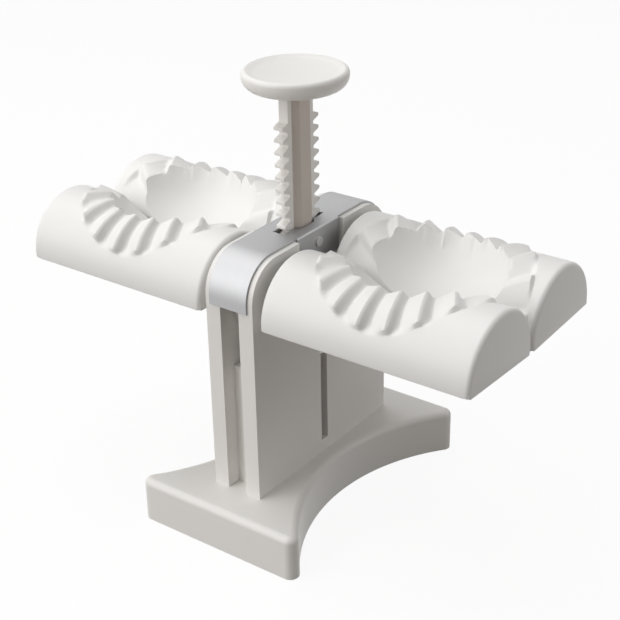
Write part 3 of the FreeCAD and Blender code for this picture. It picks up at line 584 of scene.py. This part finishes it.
class MouldForm:
    """The surface of a mould, worked out on the unrolled dome."""

    # degrees at which the rounded edges have their rings
    END_STEPS = (0.0, 15.0, 30.0, 45.0, 60.0, 75.0, 90.0)
    # points across the steep and the gentle side of a pleat, and the gap at the band's ends, in pitches
    STEEP_STEPS = 5
    GENTLE_STEPS = 11
    END_GAP = 0.01
    # rings in the bowl and in the pleat band, shares of the crests' run-out, and rings on the plain dome
    BOWL_RINGS = 24
    BAND_RINGS = 14
    CREST_RINGS = (0.5, 1.0, 1.4)
    PLAIN_RINGS = 8
    # levels of the strip below the middle line, as shares of its width
    STRIP_SHARES = (0.3, 0.6)
    # crests run out past the band, and valleys from just inside it, in band widths
    CREST_END = 0.075
    VALLEY_START = 13 / 14
    VALLEY_END = 0.11
    # height of the pleats at the inner and the outer edge of the band
    INNER_SHARE = 0.72
    OUTER_SHARE = 1.2
    # distance from the line between the rollers over which the pleats rise
    NIP_RAMP = 0.005
    # rounding to each side of a pleat's turn, in pitches
    TURN_WIDTH = 0.075
    # pitches over which one end of the band rises and the other sinks, and by which share
    LIFT_RUN = 2.2
    LIFT_SHARE = 0.55
    # marks of points off the band and below the middle line, and the part up to which pleats are laid
    PLAIN = 2.0
    BELOW = -1.0
    BAND_LIMIT = 1.5
    # distance that stands for a bowl which a ray doesn't meet, and the least height in the flat mesh
    NO_BOWL = 1.0
    LEAST_HEIGHT = -0.003
    # slack of the cut along the rim, and the shortest step that counts
    CUT_SLACK = 1e-7
    NO_STEP = 1e-9

    def __init__(self, sizes, sign):
        self.z = sizes
        self.sign = sign
        self.middle = (sizes.near + sizes.far) / 2
        past = math.asin(sizes.flat_drop / sizes.dome_radius)
        self.low = -sizes.dome_radius * (past + sizes.rest_tilt)
        self.high = sizes.dome_radius * (math.pi + past - sizes.rest_tilt)
        self.half_long = sizes.far - self.middle
        self.pitch = math.pi / sizes.pleats
        self.angles = self.stations()
        half, reach = self.band(1.0 + self.VALLEY_END)
        corner = math.atan2(self.high / reach, self.half_long / half)
        self.corners = {self.nearest(corner): 1, self.nearest(math.pi - corner): -1}

    def stations(self):
        """Angles round the band, closer together on the steep sides of the pleats."""
        steep = self.z.steep
        shares = [steep * n / self.STEEP_STEPS for n in range(self.STEEP_STEPS)]
        shares += [steep + (1.0 - steep) * n / self.GENTLE_STEPS for n in range(self.GENTLE_STEPS)]
        spots = [number - 0.5 + share for number in range(self.z.pleats + 1) for share in shares]
        inner = [self.pitch * spot for spot in spots if self.END_GAP < spot < self.z.pleats - self.END_GAP]
        return [0.0] + inner + [math.pi]

    def nearest(self, angle):
        """Number of the station nearest to an angle."""
        return min(range(len(self.angles)), key=lambda n: abs(self.angles[n] - angle))

    def band(self, part):
        """Half length and reach of the pleat band at a part of its width."""
        half = self.half_long - self.z.end_land - (1.0 - part) * self.z.end_band
        reach = self.high - self.z.low_land - (1.0 - part) * self.z.low_band
        return half, reach

    def pleat(self, angle, part, run):
        """Height of the pleats over the dome, fading out towards the line between the rollers."""
        middle = (self.z.crest - self.z.valley) / 2
        swing = (self.z.crest + self.z.valley) / 2
        phase = angle / self.pitch + 0.5
        wave = soft_fold(phase, self.z.steep, self.TURN_WIDTH)
        far_end = 1.0 - ease(0.0, self.LIFT_RUN, angle / self.pitch)
        near_end = 1.0 - ease(0.0, self.LIFT_RUN, (math.pi - angle) / self.pitch)
        wave += self.LIFT_SHARE * (near_end * (1.0 - wave) - far_end * (1.0 + wave))
        height = middle + swing * self.sign * wave
        height *= ease(0.0, self.NIP_RAMP, run)
        height *= self.INNER_SHARE + (self.OUTER_SHARE - self.INNER_SHARE) * min(part, 1.0)
        if height > 0.0:
            return height * min(1.0, max(0.0, 1.0 - (part - 1.0) / self.CREST_END))
        return height * (1.0 - ease(self.VALLEY_START, 1.0 + self.VALLEY_END, part))

    def bowl_hit(self, x, turn):
        """Distance from the roller axis to the bowl along a ray, or a far value."""
        z = self.z
        across = (x - self.middle) / z.bowl_length
        start = (-z.axis_offset / z.bowl_width, -z.bowl_level / z.bowl_depth)
        step = (math.cos(turn) / z.bowl_width, math.sin(turn) / z.bowl_depth)
        a = step[0] ** 2 + step[1] ** 2
        b = start[0] * step[0] + start[1] * step[1]
        c = across ** 2 + start[0] ** 2 + start[1] ** 2 - 1.0
        under = b * b - a * c
        if under <= 0.0:
            return self.NO_BOWL
        near = (-b - math.sqrt(under)) / a
        return near if near > 0.0 else self.NO_BOWL

    def edge_drop(self, x, run):
        """How far the rounded edges lie below the dome."""
        z = self.z
        end = max(0.0, 1.0 - min(x - z.near, z.far - x) / z.end_round)
        side = max(0.0, 1.0 - min(run - self.low, self.high - run) / z.back_round)
        total = end + side
        if total <= 0.0:
            return 0.0
        slope = min(1.0, math.hypot(end, side))
        radius = (z.end_round * end + z.back_round * side) / total
        return radius * (1.0 - math.sqrt(max(0.0, 1.0 - slope * slope)))

    def frame_point(self, number, inset):
        """Where the ray of a station meets the unrolled outline, drawn in by a share of its roundings."""
        half, reach = self.band(1.0 + self.VALLEY_END)
        long = self.half_long - inset * self.z.end_round
        tall = self.high - inset * self.z.back_round
        if number in self.corners:
            return self.middle + self.corners[number] * long, tall
        dx = half * math.cos(self.angles[number])
        dy = reach * math.sin(self.angles[number])
        scale = min(
            long / abs(dx) if abs(dx) > self.NO_STEP else math.inf,
            tall / dy if dy > self.NO_STEP else math.inf,
        )
        return self.middle + dx * scale, dy * scale

    def band_ring(self, part, share=1.0):
        """A ring of points at a part of the band's width, as (x, run, angle, part)."""
        half, reach = self.band(part)
        return [
            (self.middle + half * share * math.cos(a), reach * share * math.sin(a), a, part)
            for a in self.angles
        ]

    def rows(self):
        """Rings of points from the bowl's middle out to the outline."""
        rings = [self.band_ring(0.0, n / self.BOWL_RINGS) for n in range(1, self.BOWL_RINGS + 1)]
        parts = [n / self.BAND_RINGS for n in range(1, self.BAND_RINGS + 1)]
        parts += [1.0 + self.CREST_END * share for share in self.CREST_RINGS]
        parts.append(1.0 + self.VALLEY_END)
        rings += [self.band_ring(part) for part in parts]
        last = rings[-1]
        outline = [self.frame_point(n, 1.0) for n in range(len(self.angles))]
        for n in range(1, self.PLAIN_RINGS + 1):
            share = n / self.PLAIN_RINGS
            rings.append([
                (p[0] + (q[0] - p[0]) * share, p[1] + (q[1] - p[1]) * share, p[2], self.PLAIN)
                for p, q in zip(last, outline)
            ])
        for turn in self.END_STEPS[1:]:
            inset = 1.0 - math.sin(math.radians(turn))
            rings.append([
                (*self.frame_point(n, inset), a, self.PLAIN) for n, a in enumerate(self.angles)
            ])
        return rings

    def radius(self, x, run, angle, part):
        """Distance from the roller axis to the dome with its pleats, and to the bowl."""
        turn = run / self.z.dome_radius
        dome = self.z.dome_radius - self.edge_drop(x, run)
        if part < self.BAND_LIMIT and angle >= 0.0:
            dome += self.pleat(angle, part, run)
        return dome, self.bowl_hit(x, turn)


def unrolled_mesh(form):
    """The mould's skin as a flat mesh, cut along the rim of the bowl. Height holds dome minus bowl."""
    bm = bmesh.new()
    angle_layer = bm.verts.layers.float.new("angle")
    part_layer = bm.verts.layers.float.new("part")

    def spot(x, run, angle, part):
        dome, bowl = form.radius(x, run, angle, part)
        vert = bm.verts.new((x, run, max(dome - bowl, form.LEAST_HEIGHT)))
        vert[angle_layer] = angle
        vert[part_layer] = part
        return vert

    rings = [[spot(*each) for each in ring] for ring in form.rows()]
    heart = spot(form.middle, 0.0, math.pi / 2, 0.0)
    for first, second in zip(rings[0], rings[0][1:]):
        bm.faces.new((heart, first, second))
    for inner, outer in zip(rings, rings[1:]):
        for n in range(len(inner) - 1):
            bm.faces.new((inner[n], outer[n], outer[n + 1], inner[n + 1]))

    # the strip below the middle line, down to the flat back
    above = [ring[-1] for ring in reversed(rings)] + [heart] + [ring[0] for ring in rings]
    edge = form.z.back_round
    levels = [form.low * share for share in form.STRIP_SHARES]
    levels += [form.low + edge * (1.0 - math.sin(math.radians(turn))) for turn in form.END_STEPS]
    for level in levels:
        below = [spot(vert.co.x, level, form.BELOW, form.PLAIN) for vert in above]
        for n in range(len(above) - 1):
            bm.faces.new((above[n], below[n], below[n + 1], above[n + 1]))
        above = below
    everything = bm.verts[:] + bm.edges[:] + bm.faces[:]
    bmesh.ops.bisect_plane(
        bm, geom=everything, dist=form.CUT_SLACK, plane_co=(0, 0, 0), plane_no=(0, 0, 1)
    )
    return bm, angle_layer, part_layer


def roll_up(bm, form, angle_layer, part_layer):
    """Bends the flat mesh round the roller axis."""
    for vert in bm.verts:
        x, run = vert.co.x, vert.co.y
        dome, bowl = form.radius(x, run, vert[angle_layer], vert[part_layer])
        radius = min(dome, bowl)
        turn = run / form.z.dome_radius
        vert.co = (x, radius * math.cos(turn), radius * math.sin(turn))


def close_mould(bm, form):
    """Adds the end faces and the flat back with the seat of its plate."""
    z = form.z
    tilt = z.rest_tilt
    along = Vector((0.0, -math.cos(tilt), math.sin(tilt)))
    away = Vector((0.0, -math.sin(tilt), -math.cos(tilt)))
    border = [edge for edge in bm.edges if edge.is_boundary]
    tiny = 1e-6

    def turn_of(vert):
        turn = math.atan2(vert.co.z, vert.co.y)
        return turn if turn > -math.pi / 2 else turn + 2 * math.pi

    for x in (z.near, z.far):
        ends = {vert for edge in border for vert in edge.verts if abs(vert.co.x - x) < tiny}
        bm.faces.new(sorted(ends, key=turn_of))
    rest = [edge for edge in bm.edges if edge.is_boundary]
    level = sum((vert.co.dot(away) for edge in rest for vert in edge.verts)) / (2 * len(rest))
    seat = []
    for drop in (level, z.seat_drop):
        corners = []
        for x, side in ((z.seat_near, -1), (z.seat_far, -1), (z.seat_far, 1), (z.seat_near, 1)):
            corners.append(bm.verts.new(Vector((x, 0, 0)) + along * (z.seat_half * side) + away * drop))
        seat.append(corners)
    for n in range(4):
        m = (n + 1) % 4
        bm.faces.new((seat[0][n], seat[0][m], seat[1][m], seat[1][n]))
    bm.faces.new(seat[1])
    mouth = [bm.edges.get((seat[0][n], seat[0][(n + 1) % 4])) for n in range(4)]
    bmesh.ops.triangle_fill(bm, use_beauty=True, use_dissolve=False, edges=rest + mouth, normal=away)


def add_tube(bm, start, stop, radius, edge, sides):
    """A closed rod along X round the axis, with rounded end edges."""
    turn = edge * TUBE_ROUND
    profile = [
        (start, radius - edge), (start + turn, radius - turn), (start + edge, radius),
        (stop - edge, radius), (stop - turn, radius - turn), (stop, radius - edge),
    ]
    rings = []
    for x, r in profile:
        rings.append([
            bm.verts.new((x, r * math.cos(2 * math.pi * n / sides), r * math.sin(2 * math.pi * n / sides)))
            for n in range(sides)
        ])
    for first, second in zip(rings, rings[1:]):
        for n in range(sides):
            m = (n + 1) % sides
            bm.faces.new((first[n], first[m], second[m], second[n]))
    bm.faces.new(rings[0])
    bm.faces.new(rings[-1])


def mould_piece(name, sizes, side, roller):
    """One mould half: dome, bowl, pleats, ends, flat back and hub."""
    form = MouldForm(sizes, -roller * side)
    bm, angle_layer, part_layer = unrolled_mesh(form)
    roll_up(bm, form, angle_layer, part_layer)
    bmesh.ops.dissolve_degenerate(bm, edges=bm.edges, dist=SLIVER)
    close_mould(bm, form)
    add_tube(bm, sizes.hub_start, sizes.hub_end, sizes.hub_radius, HUB_EDGE, HUB_SIDES)
    for vert in bm.verts:
        x, y, up = vert.co
        vert.co = (side * x, -roller * y + roller * sizes.axis_offset, up + sizes.axis_height)
    return mesh_piece(name, bm, SHARP_MOULD)


def lathe(name, profile, sides):
    """A piece turned about the Z axis from (radius, height) points."""
    bm = bmesh.new()
    rings = []
    for radius, height in profile:
        if radius <= 0.0:
            rings.append([bm.verts.new((0.0, 0.0, height))])
            continue
        rings.append([
            bm.verts.new((
                radius * math.cos(2 * math.pi * n / sides), radius * math.sin(2 * math.pi * n / sides), height
            ))
            for n in range(sides)
        ])
    for first, second in zip(rings, rings[1:]):
        for n in range(sides):
            m = (n + 1) % sides
            if len(first) == 1:
                bm.faces.new((first[0], second[n], second[m]))
            elif len(second) == 1:
                bm.faces.new((first[n], second[0], first[m]))
            else:
                bm.faces.new((first[n], second[n], second[m], first[m]))
    return mesh_piece(name, bm, SHARP_TURNED)


def arc(centre, radius, start, stop, steps):
    """Points along an arc in the profile plane, angles in degrees."""
    points = []
    for n in range(steps + 1):
        turn = math.radians(start + (stop - start) * n / steps)
        points.append((centre[0] + radius * math.cos(turn), centre[1] + radius * math.sin(turn)))
    return points


def cap_profile(sizes):
    """Outline of the cap, from the middle of its underside to the middle of its dish."""
    bowl = (sizes.dish ** 2 + sizes.dish_depth ** 2) / (2 * sizes.dish_depth)
    bottom = sizes.top - sizes.dish_edge - sizes.dish_depth
    half = math.degrees(math.asin(sizes.dish / bowl))
    side_middle = (sizes.radius - sizes.side, sizes.underside + sizes.side)
    rim_middle = (sizes.radius - sizes.rim, sizes.top - sizes.rim)
    profile = [(0.0, sizes.underside), (sizes.radius * CAP_INNER_SHARE, sizes.underside)]
    profile += arc(side_middle, sizes.side, -90.0, 0.0, CAP_SIDE_STEPS)
    profile += arc(rim_middle, sizes.rim, 0.0, 90.0, CAP_RIM_STEPS)
    profile += arc((0.0, bottom + bowl), bowl, -90.0 + half, -90.0, CAP_DISH_STEPS)[:-1]
    profile.append((0.0, bottom))
    return profile


# Stage.
def add_floor(stage):
    """Adds the pale floor just below the foot."""
    bm = bmesh.new()
    bmesh.ops.create_grid(bm, x_segments=FLOOR_CELLS, y_segments=FLOOR_CELLS, size=FLOOR_HALF)
    floor = mesh_piece("pale_floor", bm, SHARP_FLOOR)
    floor.location.z = -FLOOR_DROP
    floor.data.materials.append(floor_material(stage.floor))


def add_world(scene, stage):
    """Adds soft light from all round, and a background that shows white."""
    world = bpy.data.worlds.new("soft_room")
    world.use_nodes = True
    tree = world.node_tree
    tree.nodes.clear()
    out = tree.nodes.new("ShaderNodeOutputWorld")
    room = background(tree, (*stage.room, 1.0), stage.world)
    white = background(tree, WHITE, 1.0)
    tree.links.new(mix_shaders(tree, seen_mask(tree), room, white), out.inputs["Surface"])
    scene.world = world


def add_lamps(scene, stage):
    """Adds the round lamps, aimed at the press."""
    for name, setting, spot, across in LAMPS:
        lamp = bpy.data.lights.new(name, "AREA")
        lamp.shape = "DISK"
        lamp.size = across
        lamp.energy = getattr(stage, setting)
        holder = bpy.data.objects.new(name, lamp)
        holder.location = spot
        holder.rotation_euler = (LAMP_AIM - Vector(spot)).to_track_quat("-Z", "Y").to_euler()
        scene.collection.objects.link(holder)


def add_camera(scene, stage):
    """Adds the camera at its place and turn."""
    lens = bpy.data.cameras.new("camera")
    lens.sensor_width = SENSOR_WIDTH
    lens.lens = stage.lens
    lens.clip_start = CLIP_START
    camera = bpy.data.objects.new("camera", lens)
    az, el, roll = stage.azimuth, stage.elevation, stage.roll
    back = Vector((math.sin(az) * math.cos(el), -math.cos(az) * math.cos(el), math.sin(el)))
    level = Vector((math.cos(az), math.sin(az), 0.0))
    rise = back.cross(level)
    right = level * math.cos(roll) + rise * math.sin(roll)
    up = rise * math.cos(roll) - level * math.sin(roll)
    turn = Matrix((right, up, back)).transposed().to_4x4()
    camera.matrix_world = Matrix.Translation(Vector(stage.camera)) @ turn
    scene.collection.objects.link(camera)
    scene.camera = camera


# Operators.
class PRESS_OT_moulds(Operator):
    """Makes the four pleated moulds and finishes their back plates"""

    bl_idname = "press.moulds"
    bl_label = "Moulds"

    def execute(self, context):
        sizes = context.scene.press_moulds
        finish = context.scene.press_finish
        white = plastic("mould_satin_white", finish.mould, "mould")
        plate = plastic("mould_back_white", finish.mould, "mould_back")
        for roller, facing in ROLLERS:
            for side_name, side in SIDES:
                node = f"{roller}_{side_name}_mould"
                piece = mould_piece(node + "_shell", sizes, side, facing)
                settle(piece, white, body_of(node), node)
                dress(node + "_back", plate)
        return {"FINISHED"}


class PRESS_OT_stand(Operator):
    """Finishes the foot and the two uprights"""

    bl_idname = "press.stand"
    bl_label = "Stand"

    def execute(self, context):
        finish = context.scene.press_finish
        white = plastic("stand_off_white", finish.stand, "stand")
        dress("foot", white)
        for node in ("left_upright", "right_upright"):
            settle(softened(node), white, body_of(node), node)
        return {"FINISHED"}


class PRESS_OT_strap(Operator):
    """Finishes the steel strap and its rivets"""

    bl_idname = "press.strap"
    bl_label = "Strap"

    def execute(self, context):
        finish = context.scene.press_finish
        brushed = steel("strap_brushed_steel", finish.strap, "strap")
        bright = steel("rivet_steel", finish.fitting, "rivet")
        settle(softened("strap_cover"), brushed, "stand", "strap_cover")
        dress("strap_rivets", bright)
        return {"FINISHED"}


class PRESS_OT_plunger(Operator):
    """Makes the press cap and finishes the toothed plunger and guide pin"""

    bl_idname = "press.plunger"
    bl_label = "Plunger"

    def execute(self, context):
        sizes = context.scene.press_cap
        finish = context.scene.press_finish
        bar = plastic("plunger_off_white", finish.teeth, "plunger")
        # Painted shade: a darker colour on the plunger's middle strip stands in for shade.
        paint_rib_shade(bar, finish.rib_shade, RIB_SHADE_HALF)
        white = plastic("cap_satin_white", finish.cap, "cap")
        pin = steel("pin_ground_steel", finish.fitting, "pin")
        settle(softened("rack_plunger"), bar, "plunger", "rack_plunger")
        disc = lathe("press_cap_disc", cap_profile(sizes), CAP_SIDES)
        settle(disc, white, "plunger", "press_cap")
        dress("guide_pin", pin)
        return {"FINISHED"}


class PRESS_OT_drive(Operator):
    """Finishes the pinions and axles"""

    bl_idname = "press.drive"
    bl_label = "Pinions and axles"

    def execute(self, context):
        finish = context.scene.press_finish
        gear = plastic("gear_off_white", finish.gear, "gear")
        axle = steel("axle_ground_steel", finish.fitting, "axle")
        for roller, _ in ROLLERS:
            dress(roller + "_pinion", gear)
            dress(roller + "_axle", axle)
        return {"FINISHED"}


class PRESS_OT_fasteners(Operator):
    """Finishes the screws"""

    bl_idname = "press.fasteners"
    bl_label = "Screws"

    def execute(self, context):
        finish = context.scene.press_finish
        plated = steel("screw_plated_steel", finish.fitting, "screw", streak=0.06, uneven=0.08)
        dress("upright_screws", plated)
        dress("foot_screws", plated)
        return {"FINISHED"}


class PRESS_OT_stage(Operator):
    """Sets the pale floor, the soft light and the camera"""

    bl_idname = "press.stage"
    bl_label = "Stage"

    def execute(self, context):
        scene = context.scene
        stage = scene.press_stage
        scene.view_settings.view_transform = "Standard"
        add_floor(stage)
        add_world(scene, stage)
        add_lamps(scene, stage)
        add_camera(scene, stage)
        return {"FINISHED"}


class PRESS_PT_sidebar(Panel):
    """Lists the steps that make the press"""

    bl_idname = "PRESS_PT_sidebar"
    bl_label = "Dumpling press"
    bl_space_type = "VIEW_3D"
    bl_region_type = "UI"
    bl_category = "Press"

    def draw(self, context):
        for step in STEPS:
            self.layout.operator(step.bl_idname)


GROUPS = (MouldSizes, CapSizes, PressFinish, PressStage)
STEPS = (
    PRESS_OT_moulds, PRESS_OT_stand, PRESS_OT_strap, PRESS_OT_plunger,
    PRESS_OT_drive, PRESS_OT_fasteners, PRESS_OT_stage,
)


def register():
    """Registers the settings, the steps and the panel."""
    for each in GROUPS + STEPS + (PRESS_PT_sidebar,):
        bpy.utils.register_class(each)
    bpy.types.Scene.press_moulds = PointerProperty(type=MouldSizes)
    bpy.types.Scene.press_cap = PointerProperty(type=CapSizes)
    bpy.types.Scene.press_finish = PointerProperty(type=PressFinish)
    bpy.types.Scene.press_stage = PointerProperty(type=PressStage)


def unregister():
    """Takes the settings, the steps and the panel away again."""
    for name in ("press_moulds", "press_cap", "press_finish", "press_stage"):
        delattr(bpy.types.Scene, name)
    for each in reversed(GROUPS + STEPS + (PRESS_PT_sidebar,)):
        bpy.utils.unregister_class(each)


def main():
    """Makes every piece."""
    register()
    bpy.ops.press.moulds()
    bpy.ops.press.stand()
    bpy.ops.press.strap()
    bpy.ops.press.plunger()
    bpy.ops.press.drive()
    bpy.ops.press.fasteners()
    bpy.ops.press.stage()
    bpy.context.view_layer.update()


if __name__ == "__main__":
    main()
